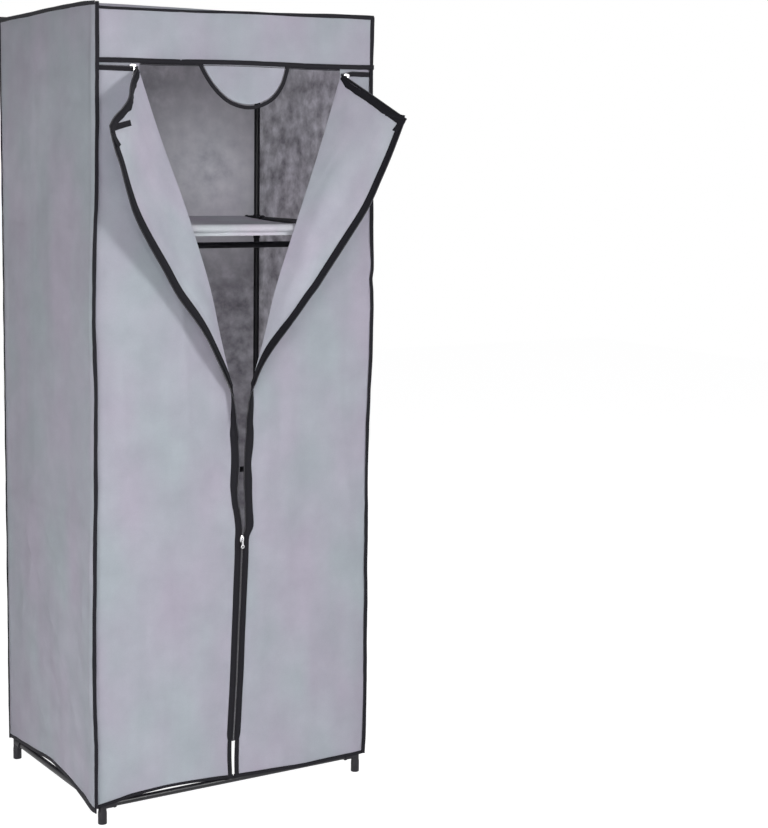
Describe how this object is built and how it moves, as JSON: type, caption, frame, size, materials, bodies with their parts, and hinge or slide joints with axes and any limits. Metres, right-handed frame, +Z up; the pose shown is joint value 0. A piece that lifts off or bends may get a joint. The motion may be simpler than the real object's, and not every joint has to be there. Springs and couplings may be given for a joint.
{
  "type": "portable fabric wardrobe",
  "caption": "Free-standing clothes wardrobe: steel tubes in plastic corner connectors under a zipped fabric cover, with an upper shelf and a hanging rail, its door corners folded out.",
  "frame": {"origin": "bottom centre of the bounding box, which includes the folded-out door lapels; the floor under the feet is at z = 0", "axes": "+Z up, the front faces -Y, +X runs along the front to the right as seen from the front"},
  "size_m": [0.652, 0.6846, 1.6068],
  "materials": {
    "tube": "gloss black paint on thin steel tube",
    "connector": "moulded charcoal plastic",
    "cover_cloth": "plain grey non-woven cloth",
    "shelf_cloth": "plain grey non-woven cloth",
    "zip_metal": "plated, silver"
  },
  "bodies": {
    "frame_and_cover": {"post_front_left_lower": "tube", "post_front_left_middle": "tube", "post_front_left_upper": "tube", "post_front_right_lower": "tube", "post_front_right_middle": "tube", "post_front_right_upper": "tube", "post_back_left_lower": "tube", "post_back_left_middle": "tube", "post_back_left_upper": "tube", "post_back_right_lower": "tube", "post_back_right_middle": "tube", "post_back_right_upper": "tube", "bottom_rail_front": "tube", "bottom_rail_back": "tube", "bottom_rail_left": "tube", "bottom_rail_right": "tube", "middle_rail_back": "tube", "middle_rail_left": "tube", "middle_rail_right": "tube", "shelf_rail_front": "tube", "shelf_rail_back": "tube", "shelf_rail_left": "tube", "shelf_rail_right": "tube", "top_rail_front": "tube", "top_rail_back": "tube", "top_rail_left": "tube", "top_rail_right": "tube", "hanging_rail": "tube", "foot_connector_front_left": "connector", "foot_connector_front_right": "connector", "foot_connector_back_left": "connector", "foot_connector_back_right": "connector", "middle_connector_front_left": "connector", "middle_connector_front_right": "connector", "middle_connector_back_left": "connector", "middle_connector_back_right": "connector", "shelf_connector_front_left": "connector", "shelf_connector_front_right": "connector", "shelf_connector_back_left": "connector", "shelf_connector_back_right": "connector", "top_connector_front_left": "connector", "top_connector_front_right": "connector", "top_connector_back_left": "connector", "top_connector_back_right": "connector", "hanging_bracket_left": "connector", "hanging_bracket_right": "connector", "shelf_cloth": "shelf_cloth", "cover_cap": "cover_cloth", "cover_back": "cover_cloth", "cover_left": "cover_cloth", "cover_right": "cover_cloth", "front_left": "cover_cloth", "front_right": "cover_cloth"},
    "lapel_left": {"lapel_left": "cover_cloth"},
    "lapel_right": {"lapel_right": "cover_cloth"},
    "half_moon_tab": {"half_moon_tab": "cover_cloth"},
    "centre_slider": {"centre_slider": "zip_metal"},
    "centre_pull": {"centre_pull": "zip_metal"},
    "left_slider": {"left_slider": "zip_metal"},
    "right_slider": {"right_slider": "zip_metal"}
  },
  "joints": [
    {"name": "lapel_left_fold", "type": "hinge", "parent": "frame_and_cover", "child": "lapel_left", "pos_m": [-0.20191, -0.13573, 1.487], "axis": [0.313, 0, -0.9498], "range_deg": [-142, 13]},
    {"name": "lapel_right_fold", "type": "hinge", "parent": "frame_and_cover", "child": "lapel_right", "pos_m": [0.24209, -0.13573, 1.487], "axis": [0.313, 0, 0.9498], "range_deg": [-105, 50]},
    {"name": "half_moon_tab_lift", "type": "hinge", "parent": "frame_and_cover", "child": "half_moon_tab", "pos_m": [0.02009, -0.13753, 1.5], "axis": [-1, 0, 0], "range_deg": [0, 160]},
    {"name": "centre_slider_run", "type": "slide", "parent": "frame_and_cover", "child": "centre_slider", "axis": [0.0354, 0, 0.9994], "range_m": [-0.43, 0]},
    {"name": "centre_pull_swing", "type": "hinge", "parent": "centre_slider", "child": "centre_pull", "pos_m": [0.02009, -0.14053, 0.55], "axis": [-1, 0, 0], "range_deg": [0, 160]},
    {"name": "left_slider_run", "type": "slide", "parent": "frame_and_cover", "child": "left_slider", "axis": [-1, 0, 0], "range_m": [0, 0.05]},
    {"name": "right_slider_run", "type": "slide", "parent": "frame_and_cover", "child": "right_slider", "axis": [1, 0, 0], "range_m": [0, 0.05]}
  ]
}
